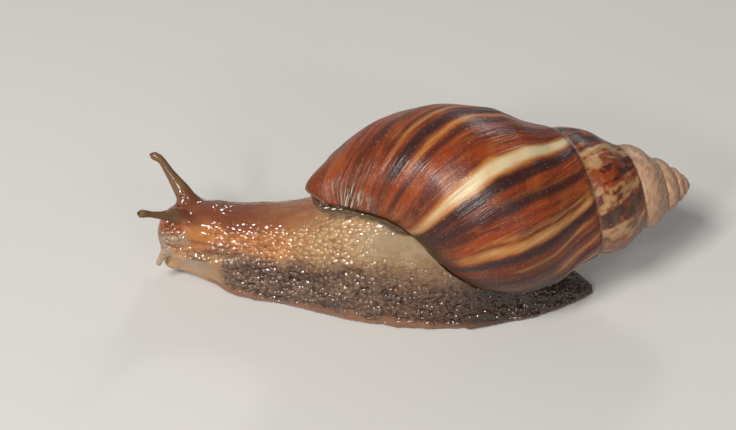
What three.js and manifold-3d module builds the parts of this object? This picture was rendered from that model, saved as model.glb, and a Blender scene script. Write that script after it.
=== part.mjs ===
// Giant African land snail, adult, gliding at full stretch: animal and shell, life size.
// Millimetres. +Z up, the head towards -X, the animal's left side towards -Y.
// The sole is flat at z = 0; the origin is under the middle of the animal's box.
import * as THREE from 'three';
import { mergeVertices } from 'three/addons/utils/BufferGeometryUtils.js';
import Module from 'manifold-3d';

const wasm = await Module();
wasm.setup();

// ---- driving sizes ---------------------------------------------------------
const GAP = 0.3; // clear space left between neighbouring solids
const SHELL_GAP = 0.36; // and between the shell and the flesh, whose flat facets cut its curve
const TURN = 2 * Math.PI;
const DEG = Math.PI / 180;

// Shell: a right-handed spiral about an axis that runs from the apex to the base.
const SHELL = {
  apex: [75.4, 4.6, 25.0], // tip of the spire
  yaw: 11.0, // the axis swings this far from the body line, spire to the right
  rise: 0.9, // the base is carried this far above the spire
  suture: 35.3, // apex to the suture at the lip, along the axis
  length: 92.8, // apex to the foot of the aperture, along the axis
  axialGrowth: 1.86, // widening per turn along the axis
  radialGrowth: 1.56, // widening per turn across it
  spireSwell: 0.06, // the early whorls are this much fuller than that growth gives
  swellRate: 1.2, // and come to that fullness at this rate per turn
  sizeAngle: 87.4, // the whorl radii below hold at this angle from straight up
  lipAngle: 40, // where the lip meets the foot of the aperture
  flare: 3.4, // the last part of the whorl reaches this much further forward at its base
  flareFrom: -59, // the flare begins at this angle from straight up
  flareTo: 1, // and is whole from here on
  whorls: 6.5,
};
// Radius of the last whorl from its suture (0) down to the foot of the aperture (1).
const WHORL_PLACE = [0.13, 0.3, 0.5, 0.7, 0.87, 0.96, 1.0];
const WHORL_RADIUS = [19.8, 24.4, 26.2, 23.9, 18.3, 12.2, 6.0];
// How the lip's edge departs from its growth line, down the whorl: degrees ahead of it,
// drawn in towards the axis, and further along the axis. It fades out over so many steps.
const LIP_EDGE = {
  place: [0.5, 0.89, 0.97, 1.0],
  ahead: [0, -2, 5, -24],
  inward: [0, 1.1, 1.5, 0.3],
  reach: [0, 0, 1.6, 1.0],
  steps: 4,
};
// How growth lines lag behind the suture down the whorl: fast at first, evenly, then again
// at the foot; at the next suture they lag by so many steps.
const LAG = { fast: 18, fastPlace: 0.15, even: 30, foot: 32, footPower: 5, steps: 3 };
const STEPS_PER_TURN = 32;
const STEPS_TO_SUTURE = 5; // whorl rows that stay in sight on the spire
const STEPS_BELOW_SUTURE = 8; // rows that only the last whorl shows
const CLOSER_AT_FOOT = 1.4; // those rows lie closer together towards the foot by this power

// Body: stations along the animal. x, midline y, half width of the sole, half width of
// the body, height of its widest part, height of its back, height of its underside.
const BODY = [
  [-50.4, 3.0, 0.8, 1.4, 11.6, 13.4, 9.6],
  [-49.6, 3.0, 2.2, 3.8, 11.0, 15.6, 6.6],
  [-47.4, 3.0, 3.8, 6.0, 10.4, 18.2, 3.0],
  [-43.5, 3.0, 4.8, 7.6, 10.2, 20.0, 1.7],
  [-38.0, 2.9, 6.9, 8.6, 9.8, 20.0, 0.6],
  [-31.0, 2.5, 10.6, 9.4, 9.4, 19.0, 0.0],
  [-22.0, 1.6, 12.2, 10.2, 9.6, 19.6, 0.0],
  [-14.0, 0.0, 13.2, 11.0, 10.6, 22.4, 0.0],
  [-6.0, -1.6, 14.3, 12.8, 12.0, 29.0, 0.0],
  [4.0, -3.0, 15.2, 14.2, 11.6, 33.0, 0.0],
  [14.0, -4.0, 15.3, 14.2, 10.0, 31.0, 0.0],
  [24.0, -4.4, 14.6, 12.8, 7.6, 21.0, 0.0],
  [34.0, -4.4, 12.4, 10.6, 5.6, 12.0, 0.0],
  [44.0, -4.4, 8.8, 7.2, 4.0, 6.8, 0.0],
  [51.0, -4.7, 4.4, 3.4, 2.2, 3.4, 0.0],
  [53.9, -4.8, 1.4, 1.0, 1.0, 1.6, 0.0],
];
// Cross-section: height of the sole's widest part (less where the body is thin), how far in
// from its edge the flat sole ends, the share of its width kept just above the edge and how
// far up that is, and the number of points on each flank and over each half of the back.
const SECTION = {
  edge: 1.0,
  thinEdge: 0.4,
  bevel: 1.2,
  flatShare: 0.7,
  keep: 0.985,
  keepUp: 0.25,
  flankPoints: 2,
  backPoints: 7,
};
const BODY_RINGS = 36;
const CLOSER_AT_ENDS = 0.1; // rings lie closer together towards both ends of the body
// Where the flesh is parted: lengths along X, the top of the foot, and the mouth's level.
const CUT = { headX: -39.5, neckX: -14.0, footX: -12.0, tailX: 30.0, footTop: 5.0, mouthZ: 3.6 };
const FAR = 90; // beyond the animal on every side

// Feelers: the line each follows from inside the head, and its radii at root, waist, knob.
const FEELERS = {
  upper_tentacle_right: {
    path: [
      [-41.0, 6.2, 16.0],
      [-43.2, 6.3, 20.2],
      [-46.9, 9.6, 24.4],
      [-49.3, 11.6, 27.2],
      [-51.6, 12.6, 27.7],
    ],
    radii: [3.5, 0.95, 1.1],
  },
  upper_tentacle_left: {
    path: [
      [-40.8, -0.5, 16.0],
      [-44.0, -0.6, 19.4],
      [-48.0, -3.7, 22.5],
      [-50.6, -5.5, 24.4],
      [-52.5, -6.7, 25.6],
    ],
    radii: [2.9, 0.85, 1.05],
  },
  lower_tentacle_right: {
    path: [[-45.0, 6.4, 12.6], [-47.6, 7.8, 10.6], [-50.1, 9.2, 6.6]],
    radii: [1.9, 0.85, 0.8],
  },
  lower_tentacle_left: {
    path: [[-45.0, -0.4, 12.6], [-47.6, -1.8, 10.6], [-50.1, -3.2, 6.6]],
    radii: [1.9, 0.85, 0.8],
  },
};
// Along a feeler: where the root has thinned, the waist, the knob's start and its end, how
// much of the root's radius is left at the second of these, and how far its tip rounds off.
const FEELER_SHAPE = { place: [0, 0.25, 0.8, 0.93, 1], rootLeft: 0.6, tip: 0.045, tipLeft: 0.35 };
const FEELER_SIDES = 9;
const ROWS_PER_POINT = 3; // rings of a feeler for each point of its line
const EYE = { radius: 0.5, sunk: 0.35, sides: 10 }; // its centre lies inside the feeler's end
// Mouth lobes: the point between them, how far each lies to its side, half sizes.
const LIP = { centre: [-46.6, 3.0, 5.0], spread: 2.6, size: [2.8, 2.4, 2.6], sides: 12 };
// Mantle collar: its radius from the suture to the end under the foot of the whorl, how far in
// from the lip's edge and behind it its middle lies, how many steps it follows the foot of
// the whorl, how far inside that wall and below it, and how far its two ends round off.
const COLLAR = {
  place: [0, 0.55, 0.75, 1],
  radius: [1.6, 1.6, 1.2, 1.0],
  inset: 2.4,
  behind: 0.9,
  follow: 14,
  footInset: 1.0,
  below: 0.5,
  endLength: 0.05,
  endLeft: 0.4,
  rings: 24,
  sides: 7,
};

const COLOURS = {
  shell: 0x7a3d1c,
  mantle_collar: 0x6b5038,
  head: 0x9a5a2c,
  neck: 0xa06a38,
  trunk: 0x8a6f4c,
  foot_front: 0x8a6038,
  foot_middle: 0x5a4433,
  tail: 0x4f3c2e,
  feeler: 0x8a6a50,
  eye: 0x1a1512,
  lip: 0x9c6b3e,
};
const GLOSS = { shell: 0.25, skin: 0.35, feeler: 0.4, eye: 0.15 }; // roughness of each

// ---- helpers ---------------------------------------------------------------
const vec = (p) => new THREE.Vector3(p[0], p[1], p[2]);

/** Smooth value at x through (xs, ys), with no overshoot between the points. */
function smooth(xs, ys, x) {
  const last = xs.length - 1;
  if (x <= xs[0]) return ys[0];
  if (x >= xs[last]) return ys[last];
  let i = 0;
  while (x > xs[i + 1]) i += 1;
  const slope = (k) => (ys[k + 1] - ys[k]) / (xs[k + 1] - xs[k]);
  const tangent = (k) => {
    if (k === 0) return slope(0);
    if (k === last) return slope(last - 1);
    const a = slope(k - 1);
    const b = slope(k);
    return a * b <= 0 ? 0 : (2 * a * b) / (a + b);
  };
  const h = xs[i + 1] - xs[i];
  const t = (x - xs[i]) / h;
  const a = ys[i] * (1 + 2 * t) * (1 - t) ** 2;
  const b = h * tangent(i) * t * (1 - t) ** 2;
  const c = ys[i + 1] * t * t * (3 - 2 * t);
  const d = h * tangent(i + 1) * t * t * (t - 1);
  return a + b + c + d;
}

/** Faces of a closed skin, all wound the same way round and facing outward. */
function windOutward(points, faces) {
  const beside = new Map();
  const edgeKey = (a, b) => (a < b ? `${a}_${b}` : `${b}_${a}`);
  faces.forEach((face, f) => {
    for (let i = 0; i < 3; i += 1) {
      const key = edgeKey(face[i], face[(i + 1) % 3]);
      if (!beside.has(key)) beside.set(key, []);
      beside.get(key).push(f);
    }
  });
  const runs = (face, a, b) => [0, 1, 2].some((i) => face[i] === a && face[(i + 1) % 3] === b);
  const done = new Set([0]);
  const waiting = [0];
  while (waiting.length > 0) {
    const f = waiting.pop();
    for (let i = 0; i < 3; i += 1) {
      const a = faces[f][i];
      const b = faces[f][(i + 1) % 3];
      for (const g of beside.get(edgeKey(a, b))) {
        if (done.has(g)) continue;
        if (runs(faces[g], a, b)) faces[g].reverse();
        done.add(g);
        waiting.push(g);
      }
    }
  }
  let volume = 0;
  for (const [a, b, c] of faces) volume += points[a].dot(points[b].clone().cross(points[c]));
  if (volume < 0) faces.forEach((face) => face.reverse());
}

/** Closed geometry from corner points and triangles. */
function closedGeometry(points, faces) {
  windOutward(points, faces);
  const geometry = new THREE.BufferGeometry();
  const flat = points.flatMap((p) => [p.x, p.y, p.z]);
  geometry.setAttribute('position', new THREE.Float32BufferAttribute(flat, 3));
  geometry.setIndex(faces.flat());
  return geometry;
}

/** The same skin moved outward everywhere by a distance. */
function swollen(geometry, distance) {
  const grown = geometry.clone();
  grown.computeVertexNormals();
  const place = grown.attributes.position;
  const normal = grown.attributes.normal;
  for (let i = 0; i < place.count; i += 1) {
    const x = place.getX(i) + distance * normal.getX(i);
    const y = place.getY(i) + distance * normal.getY(i);
    const z = place.getZ(i) + distance * normal.getZ(i);
    place.setXYZ(i, x, y, z);
  }
  return grown;
}

/** Solid for joining and cutting. */
function solid(geometry) {
  const bare = geometry.clone();
  bare.deleteAttribute('normal');
  bare.deleteAttribute('uv');
  const merged = mergeVertices(bare, 1e-4);
  return new wasm.Manifold(new wasm.Mesh({
    numProp: 3,
    vertProperties: new Float32Array(merged.attributes.position.array),
    triVerts: new Uint32Array(merged.index.array),
  }));
}

/** Geometry of a joined or cut solid, its largest piece only. */
function shape(manifold) {
  const pieces = manifold.decompose();
  pieces.sort((a, b) => b.volume() - a.volume());
  const mesh = pieces[0].getMesh();
  const geometry = new THREE.BufferGeometry();
  geometry.setAttribute('position', new THREE.Float32BufferAttribute(mesh.vertProperties, 3));
  geometry.setIndex(new THREE.BufferAttribute(mesh.triVerts, 1));
  return geometry;
}

/** Skin of a row of closed rings, each with the same number of points, ends capped. */
function loft(rings) {
  const n = rings[0].length;
  const points = rings.flat();
  const faces = [];
  for (let i = 0; i + 1 < rings.length; i += 1) {
    for (let j = 0; j < n; j += 1) {
      const a = i * n + j;
      const b = i * n + ((j + 1) % n);
      faces.push([a, b, a + n], [b, b + n, a + n]);
    }
  }
  for (const [row, turn] of [[0, 1], [rings.length - 1, -1]]) {
    const middle = new THREE.Vector3();
    rings[row].forEach((p) => middle.addScaledVector(p, 1 / n));
    const hub = points.push(middle) - 1;
    for (let j = 0; j < n; j += 1) {
      const a = row * n + j;
      const b = row * n + ((j + 1) % n);
      faces.push(turn > 0 ? [hub, b, a] : [hub, a, b]);
    }
  }
  return closedGeometry(points, faces);
}

/** Round bar along a curve, its radius given along the way, ends rounded off. */
function bar(curve, radiusAt, rows, sides) {
  const frames = curve.computeFrenetFrames(rows, false);
  const rings = [];
  for (let i = 0; i <= rows; i += 1) {
    const t = i / rows;
    const centre = curve.getPointAt(t);
    const ring = [];
    for (let j = 0; j < sides; j += 1) {
      const angle = (TURN * j) / sides;
      const r = radiusAt(t);
      const p = centre.clone();
      p.addScaledVector(frames.normals[i], r * Math.cos(angle));
      p.addScaledVector(frames.binormals[i], r * Math.sin(angle));
      ring.push(p);
    }
    rings.push(ring);
  }
  return loft(rings);
}

/** Ball stretched along X, Y and Z. */
function ball(centre, size, sides) {
  const geometry = new THREE.SphereGeometry(1, sides, Math.round(sides / 2));
  geometry.scale(size[0], size[1], size[2]);
  geometry.translate(centre[0], centre[1], centre[2]);
  return geometry;
}

// ---- shell -----------------------------------------------------------------
const axis = new THREE.Vector3(
  -Math.cos(SHELL.rise * DEG) * Math.cos(SHELL.yaw * DEG),
  -Math.cos(SHELL.rise * DEG) * Math.sin(SHELL.yaw * DEG),
  Math.sin(SHELL.rise * DEG),
);
const shellUp = new THREE.Vector3(0, 0, 1).addScaledVector(axis, -axis.z).normalize();
const shellRight = axis.clone().cross(shellUp);

// The next suture lies on the whorl above where this share of the whorl is passed.
const drop = SHELL.length - SHELL.suture;
const SUTURE_PLACE = (SHELL.axialGrowth * SHELL.suture - SHELL.suture) / drop;
const lastRadii = (place) => smooth(WHORL_PLACE, WHORL_RADIUS, place);

/** How far the shell has widened across its axis after so many turns from its full size. */
function across(turns) {
  const swell = SHELL.spireSwell * (1 - Math.exp(SHELL.swellRate * Math.min(turns, 0)));
  return SHELL.radialGrowth ** turns * (1 + swell);
}

function whorlRadius(turns, place) {
  const sutureRadius = (across(turns - 1) / across(turns)) * lastRadii(SUTURE_PLACE);
  return across(turns) * smooth([0, ...WHORL_PLACE], [sutureRadius, ...WHORL_RADIUS], place);
}

/** Growth lines lean back from the suture: their lead, in steps, which is below zero. */
function growthLead(place) {
  const fast = (v) => LAG.fast * (1 - Math.exp(-v / LAG.fastPlace));
  const lag = (v) => fast(v) + LAG.even * v + LAG.foot * v ** LAG.footPower;
  return (-LAG.steps * lag(place)) / lag(SUTURE_PLACE);
}

/** Point on the shell wall, `out` beyond it, at an angle and a place down the whorl. */
function shellPoint(angle, place, out = 0) {
  const turns = (angle - SHELL.sizeAngle * DEG) / TURN;
  const along = SHELL.axialGrowth ** turns;
  const radius = whorlRadius(turns, place) + out;
  const nearLip = THREE.MathUtils.smoothstep(angle / DEG, SHELL.flareFrom, SHELL.flareTo);
  const depth = along * (SHELL.suture + drop * place) + SHELL.flare * nearLip * place ** 4;
  const p = vec(SHELL.apex).addScaledVector(axis, depth);
  p.addScaledVector(shellUp, radius * Math.cos(angle));
  p.addScaledVector(shellRight, radius * Math.sin(angle));
  return p;
}

const STEP = TURN / STEPS_PER_TURN;
const LIP_TURN = SHELL.lipAngle * DEG - growthLead(1) * STEP;
const ROWS = STEPS_TO_SUTURE + STEPS_BELOW_SUTURE;

function rowPlace(row) {
  if (row <= STEPS_TO_SUTURE) return (SUTURE_PLACE * row) / STEPS_TO_SUTURE;
  const rest = (row - STEPS_TO_SUTURE) / STEPS_BELOW_SUTURE;
  return SUTURE_PLACE + (1 - SUTURE_PLACE) * (1 - (1 - rest) ** CLOSER_AT_FOOT);
}

/** Point of the growth line laid down `back` steps before the lip. */
function growthPoint(back, row, out = 0) {
  const place = rowPlace(row);
  const share = Math.max(0, 1 - back / LIP_EDGE.steps);
  const edge = (column) => share * smooth(LIP_EDGE.place, LIP_EDGE[column], place);
  const angle = LIP_TURN - (back - growthLead(place)) * STEP + edge('ahead') * DEG;
  return shellPoint(angle, place, out - edge('inward')).addScaledVector(axis, edge('reach'));
}

/**
 * The whole shell as one body: a ribbon that winds from the spire to the lip, each
 * turn joined to the one above along the suture, closed across the aperture.
 */
function shellGeometry() {
  const points = [];
  const faces = [];
  const turnsBack = Math.round(SHELL.whorls * STEPS_PER_TURN);
  const joined = STEPS_PER_TURN - LAG.steps; // steps back at which the suture leaves the lip
  const grid = new Map();
  const corner = (back, row) => {
    if (row === 0 && back + joined <= turnsBack) return corner(back + joined, STEPS_TO_SUTURE);
    const key = `${back}:${row}`;
    if (!grid.has(key)) grid.set(key, points.push(growthPoint(back, row)) - 1);
    return grid.get(key);
  };
  const reach = (a, b) => points[a].distanceTo(points[b]);
  const quad = (a, b, c, d) => {
    if (reach(a, c) < reach(b, d)) faces.push([a, b, c], [a, c, d]);
    else faces.push([a, b, d], [b, c, d]);
  };
  for (let back = turnsBack; back > 0; back -= 1) {
    const rows = back <= joined ? ROWS : STEPS_TO_SUTURE;
    for (let row = 0; row < rows; row += 1) {
      quad(corner(back, row), corner(back, row + 1), corner(back - 1, row + 1), corner(back - 1, row));
    }
  }
  // Spire tip: the first turn's inner edge and its starting line, closed to one point.
  const tip = points.push(vec(SHELL.apex)) - 1;
  for (let back = turnsBack; back + joined > turnsBack && back > 0; back -= 1) {
    faces.push([tip, corner(back, 0), corner(back - 1, 0)]);
  }
  for (let row = 0; row < STEPS_TO_SUTURE; row += 1) {
    faces.push([tip, corner(turnsBack, row + 1), corner(turnsBack, row)]);
  }
  // Pillar: a straight line from the end of the turn before to the foot of the lip.
  const pillar = [corner(joined, ROWS)];
  const pillarTop = points[pillar[0]].clone();
  const pillarFoot = points[corner(0, ROWS)].clone();
  for (let i = 1; i < joined; i += 1) {
    pillar.push(points.push(pillarTop.clone().lerp(pillarFoot, i / joined)) - 1);
  }
  pillar.push(corner(0, ROWS));
  for (let i = 0; i < joined; i += 1) {
    const a = corner(joined - i, ROWS);
    const b = corner(joined - i - 1, ROWS);
    if (i === 0) faces.push([a, pillar[1], b]);
    else if (i === joined - 1) faces.push([a, pillar[i], b]);
    else quad(a, pillar[i], pillar[i + 1], b);
  }
  // Aperture: from the lip across to the wall of the turn before and the pillar.
  const inner = [];
  for (let row = STEPS_TO_SUTURE; row <= ROWS; row += 1) inner.push(corner(joined, row));
  inner.push(...pillar.slice(1));
  const outer = [];
  for (let row = 0; row <= ROWS; row += 1) outer.push(corner(0, row));
  stitch(points, faces, outer, inner);
  return closedGeometry(points, faces);
}

/** Triangles between two lines of points that share both their ends. */
function stitch(points, faces, outer, inner) {
  const n = outer.length - 1;
  const m = inner.length - 1;
  const reach = (a, b) => points[a].distanceTo(points[b]);
  faces.push([outer[0], outer[1], inner[1]]);
  let i = 1;
  let j = 1;
  while (i < n - 1 || j < m - 1) {
    const alongOuter = i < n - 1 ? reach(outer[i + 1], inner[j]) : Infinity;
    const alongInner = j < m - 1 ? reach(inner[j + 1], outer[i]) : Infinity;
    if (alongOuter < alongInner) {
      faces.push([outer[i], outer[i + 1], inner[j]]);
      i += 1;
    } else {
      faces.push([outer[i], inner[j + 1], inner[j]]);
      j += 1;
    }
  }
  faces.push([outer[n - 1], outer[n], inner[m - 1]]);
}

// ---- body ------------------------------------------------------------------
const column = (k) => BODY.map((row) => row[k]);
const bodyX = column(0);
const bodyAt = (k, x) => smooth(bodyX, column(k), x);

/** Cross-section of foot and body: flat sole, rounded margin, flank and back. */
function bodyRing(x) {
  const midline = bodyAt(1, x);
  const sole = bodyAt(2, x);
  const wide = bodyAt(3, x);
  const waist = bodyAt(4, x);
  const back = bodyAt(5, x);
  const lift = bodyAt(6, x);
  const edge = lift + Math.min(SECTION.edge, SECTION.thinEdge * back);
  const flat = Math.max(sole - SECTION.bevel, SECTION.flatShare * sole);
  const kept = SECTION.keep * sole;
  const keptUp = edge + SECTION.keepUp * (waist - edge);
  const half = [[0, lift], [sole / 2, lift], [flat, lift], [sole, edge], [kept, keptUp]];
  for (let i = 1; i <= SECTION.flankPoints; i += 1) {
    const t = i / (SECTION.flankPoints + 1);
    const ease = t * t * (3 - 2 * t);
    half.push([kept + (wide - kept) * ease, keptUp + (waist - keptUp) * t]);
  }
  for (let i = 0; i <= SECTION.backPoints; i += 1) {
    const angle = (Math.PI / 2) * (i / SECTION.backPoints);
    half.push([wide * Math.cos(angle), waist + (back - waist) * Math.sin(angle)]);
  }
  const ring = half.map(([y, z]) => new THREE.Vector3(x, midline + y, z));
  const other = half.slice(1, -1).reverse().map(([y, z]) => new THREE.Vector3(x, midline - y, z));
  return [...ring, ...other];
}

function bodyGeometry() {
  const first = bodyX[0];
  const last = bodyX[bodyX.length - 1];
  const rings = [];
  for (let i = 0; i <= BODY_RINGS; i += 1) {
    const t = i / BODY_RINGS;
    // Closer rings towards both ends, where the outline turns fastest.
    const eased = t - CLOSER_AT_ENDS * Math.sin(TURN * t);
    rings.push(bodyRing(first + (last - first) * eased));
  }
  return loft(rings);
}

/** Radius of a feeler along its line: root, waist and knob, the tip rounded off. */
function feelerRadius(radii, t) {
  const [root, waist, knob] = radii;
  const { place, rootLeft, tip, tipLeft } = FEELER_SHAPE;
  const thinned = rootLeft * root + (1 - rootLeft) * waist;
  const intoTip = Math.max(0, (t - 1 + tip) / tip);
  const rounded = Math.max(tipLeft, Math.sqrt(Math.max(0, 1 - intoTip ** 2)));
  return rounded * smooth(place, [root, thinned, waist, knob, knob], t);
}

function feelerGeometry({ path, radii }) {
  const curve = new THREE.CatmullRomCurve3(path.map(vec), false, 'centripetal');
  return bar(curve, (t) => feelerRadius(radii, t), ROWS_PER_POINT * path.length, FEELER_SIDES);
}

/** The line the collar follows: just inside the lip, then along the base of the shell. */
function collarCurve() {
  const line = [];
  for (let row = 1; row < ROWS; row += 1) {
    const p = growthPoint(0, row);
    const backward = growthPoint(1, row).sub(p);
    const inward = growthPoint(0, row + 1).sub(growthPoint(0, row - 1)).cross(backward);
    if (inward.dot(growthPoint(0, row, -1).sub(p)) < 0) inward.negate();
    line.push(p.add(inward.setLength(COLLAR.inset)).add(backward.setLength(COLLAR.behind)));
  }
  for (let back = 0; back <= COLLAR.follow; back += 2) {
    line.push(growthPoint(back, ROWS, -COLLAR.footInset).addScaledVector(axis, COLLAR.below));
  }
  return new THREE.CatmullRomCurve3(line, false, 'centripetal');
}

function collarGeometry(grow) {
  const radiusAt = (t) => {
    const intoEnd = Math.max(0, 1 - Math.min(t, 1 - t) / COLLAR.endLength);
    const rounded = Math.max(COLLAR.endLeft, Math.sqrt(1 - intoEnd ** 2));
    return rounded * smooth(COLLAR.place, COLLAR.radius, t) + grow;
  };
  return bar(collarCurve(), radiusAt, COLLAR.rings, COLLAR.sides);
}

/** A feeler, its swollen copy that clears a socket in the head, and its eye if it has one. */
function feelerParts(name, feeler) {
  const end = vec(feeler.path[feeler.path.length - 1]);
  const before = vec(feeler.path[feeler.path.length - 2]);
  const ahead = end.clone().sub(before).normalize();
  const wide = { path: feeler.path, radii: feeler.radii.map((r) => r + GAP) };
  const parts = { body: solid(feelerGeometry(feeler)), clear: solid(feelerGeometry(wide)) };
  if (name.startsWith('upper')) {
    // The long feeler is parted square across its middle, root from stalk.
    const along = vec(feeler.path[3]).sub(vec(feeler.path[1])).normalize();
    const place = vec(feeler.path[2]).dot(along);
    parts.root = [along.clone().negate().toArray(), GAP / 2 - place];
    parts.stalk = [along.toArray(), place + GAP / 2];
    const seat = end.clone().addScaledVector(ahead, -EYE.sunk).toArray();
    const eyeSize = [EYE.radius, EYE.radius, EYE.radius];
    parts.eye = solid(ball(seat, eyeSize, EYE.sides));
    parts.body = parts.body.subtract(solid(ball(seat, eyeSize.map((r) => r + GAP), EYE.sides)));
  }
  return parts;
}

function lipSolid(side, grow) {
  const centre = [LIP.centre[0], LIP.centre[1] + side * LIP.spread, LIP.centre[2]];
  return solid(ball(centre, LIP.size.map((s) => s + grow), LIP.sides));
}

// ---- cutting the body into its parts ------------------------------------------
const shellSolid = solid(shellGeometry()).subtract(solid(collarGeometry(GAP)));
const shellClear = solid(swollen(shellGeometry(), SHELL_GAP)).subtract(solid(collarGeometry(0)));
const collar = solid(collarGeometry(0));

const feelers = {};
for (const [name, feeler] of Object.entries(FEELERS)) feelers[name] = feelerParts(name, feeler);

let flesh = solid(bodyGeometry()).subtract(shellClear).subtract(solid(collarGeometry(GAP)));
for (const side of [-1, 1]) flesh = flesh.subtract(lipSolid(side, GAP));
for (const { clear } of Object.values(feelers)) flesh = flesh.subtract(clear);

/** A block across the whole animal between two places along X and two levels. */
function block(from, to, low, high) {
  const box = new THREE.BoxGeometry(to - from, 2 * FAR, high - low);
  box.translate((from + to) / 2, 0, (low + high) / 2);
  return solid(box);
}

const half = GAP / 2;
const footBelowHead = block(-FAR, CUT.headX + half, -FAR, CUT.mouthZ);
const footBelowNeck = block(CUT.headX + half, CUT.footX - half, -FAR, CUT.footTop);
const stretches = {
  head: block(-FAR, CUT.headX - half, CUT.mouthZ + GAP, FAR),
  neck: block(CUT.headX + half, CUT.neckX - half, CUT.footTop + GAP, FAR),
  trunk: block(CUT.neckX + half, CUT.tailX - half, CUT.footTop + GAP, FAR),
  foot_front: footBelowHead.add(footBelowNeck),
  foot_middle: block(CUT.footX + half, CUT.tailX - half, -FAR, CUT.footTop),
  tail: block(CUT.tailX + half, FAR, -FAR, FAR),
};

// ---- the animal ------------------------------------------------------------------
const animal = new THREE.Group();

function add(name, manifold, color, roughness) {
  const material = new THREE.MeshStandardMaterial({ color, roughness, metalness: 0 });
  const mesh = new THREE.Mesh(shape(manifold), material);
  mesh.name = name;
  animal.add(mesh);
}

add('shell', shellSolid, COLOURS.shell, GLOSS.shell);
add('mantle_collar', collar, COLOURS.mantle_collar, GLOSS.skin);
for (const [name, stretch] of Object.entries(stretches)) {
  add(name, flesh.intersect(stretch), COLOURS[name], GLOSS.skin);
}
for (const [name, parts] of Object.entries(feelers)) {
  if (parts.eye) {
    const root = parts.body.trimByPlane(...parts.root);
    const stalk = parts.body.trimByPlane(...parts.stalk);
    add(`${name}_root`, root, COLOURS.feeler, GLOSS.feeler);
    add(`${name}_stalk`, stalk, COLOURS.feeler, GLOSS.feeler);
    add(name.replace('upper_tentacle', 'eye'), parts.eye, COLOURS.eye, GLOSS.eye);
  } else {
    add(name, parts.body, COLOURS.feeler, GLOSS.feeler);
  }
}
for (const [side, name] of [[-1, 'lip_left'], [1, 'lip_right']]) {
  add(name, lipSolid(side, 0), COLOURS.lip, GLOSS.skin);
}

// Origin under the middle of the box, sole on the ground.
const middle = new THREE.Box3().setFromObject(animal).getCenter(new THREE.Vector3());
animal.position.set(-middle.x, -middle.y, 0);
const group = new THREE.Group();
group.add(animal);
export default group;
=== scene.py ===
"""Giant African land snail: shell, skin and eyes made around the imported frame."""
import math
from itertools import product
from types import SimpleNamespace

import bmesh
import bpy
import numpy as np
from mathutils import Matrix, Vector
from mathutils.bvhtree import BVHTree
from mathutils.kdtree import KDTree


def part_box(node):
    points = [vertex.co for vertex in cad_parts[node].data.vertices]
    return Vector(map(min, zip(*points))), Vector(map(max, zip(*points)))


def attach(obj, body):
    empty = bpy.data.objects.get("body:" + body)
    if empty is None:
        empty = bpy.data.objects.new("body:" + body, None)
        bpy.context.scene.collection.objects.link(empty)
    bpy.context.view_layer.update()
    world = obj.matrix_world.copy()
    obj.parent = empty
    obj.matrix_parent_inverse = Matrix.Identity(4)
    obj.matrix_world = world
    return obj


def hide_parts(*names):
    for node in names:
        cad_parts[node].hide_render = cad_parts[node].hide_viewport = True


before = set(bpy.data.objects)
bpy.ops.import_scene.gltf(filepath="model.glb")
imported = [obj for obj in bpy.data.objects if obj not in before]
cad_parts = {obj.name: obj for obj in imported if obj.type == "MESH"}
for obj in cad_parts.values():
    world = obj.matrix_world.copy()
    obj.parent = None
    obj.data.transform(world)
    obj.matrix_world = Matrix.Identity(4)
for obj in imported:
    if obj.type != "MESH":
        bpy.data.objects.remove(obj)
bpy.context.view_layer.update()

MM = 0.001
# The sizes below are the part's own, in millimetres, before its origin is set under it.
ORIGIN = np.array([11.3428, -3.6534, 0.0])


def to_frame(points):
    """Millimetres of the part's own layout to metres of the frame."""
    return (np.asarray(points, dtype=float) - ORIGIN) * MM


def ramp(low, high, value):
    """Smooth rise from 0 at low to 1 at high, or fall where high is the lower."""
    t = np.clip((value - low) / (high - low), 0.0, 1.0)
    return t * t * (3 - 2 * t)


def length(vectors):
    return np.linalg.norm(vectors, axis=-1)


def bump(value, centre, half_width):
    """Smooth rise to 1 at the centre and back to 0 at the half width."""
    return ramp(0, 1, 1 - np.abs(value - centre) / half_width)


def curve_value(xs, ys, x):
    """Smooth value through (xs, ys) with no overshoot; ys may be given for each x."""
    x = np.asarray(x, dtype=float)
    xs = np.asarray(xs, dtype=float)
    ys = [np.broadcast_to(np.asarray(y, dtype=float), x.shape) for y in ys]
    slopes = [(ys[k + 1] - ys[k]) / (xs[k + 1] - xs[k]) for k in range(len(xs) - 1)]
    tangents = [slopes[0]]
    for a, b in zip(slopes[:-1], slopes[1:]):
        total = np.where(np.abs(a + b) < 1e-12, 1.0, a + b)
        tangents.append(np.where(a * b <= 0, 0.0, 2 * a * b / total))
    tangents.append(slopes[-1])
    result = np.where(x <= xs[0], ys[0], ys[-1])
    for k in range(len(xs) - 1):
        h = xs[k + 1] - xs[k]
        t = np.clip((x - xs[k]) / h, 0, 1)
        value = ys[k] * (1 + 2 * t) * (1 - t) ** 2 + h * tangents[k] * t * (1 - t) ** 2
        value += ys[k + 1] * t * t * (3 - 2 * t) + h * tangents[k + 1] * t * t * (t - 1)
        result = np.where((x > xs[k]) & (x <= xs[k + 1]), value, result)
    return result


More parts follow.
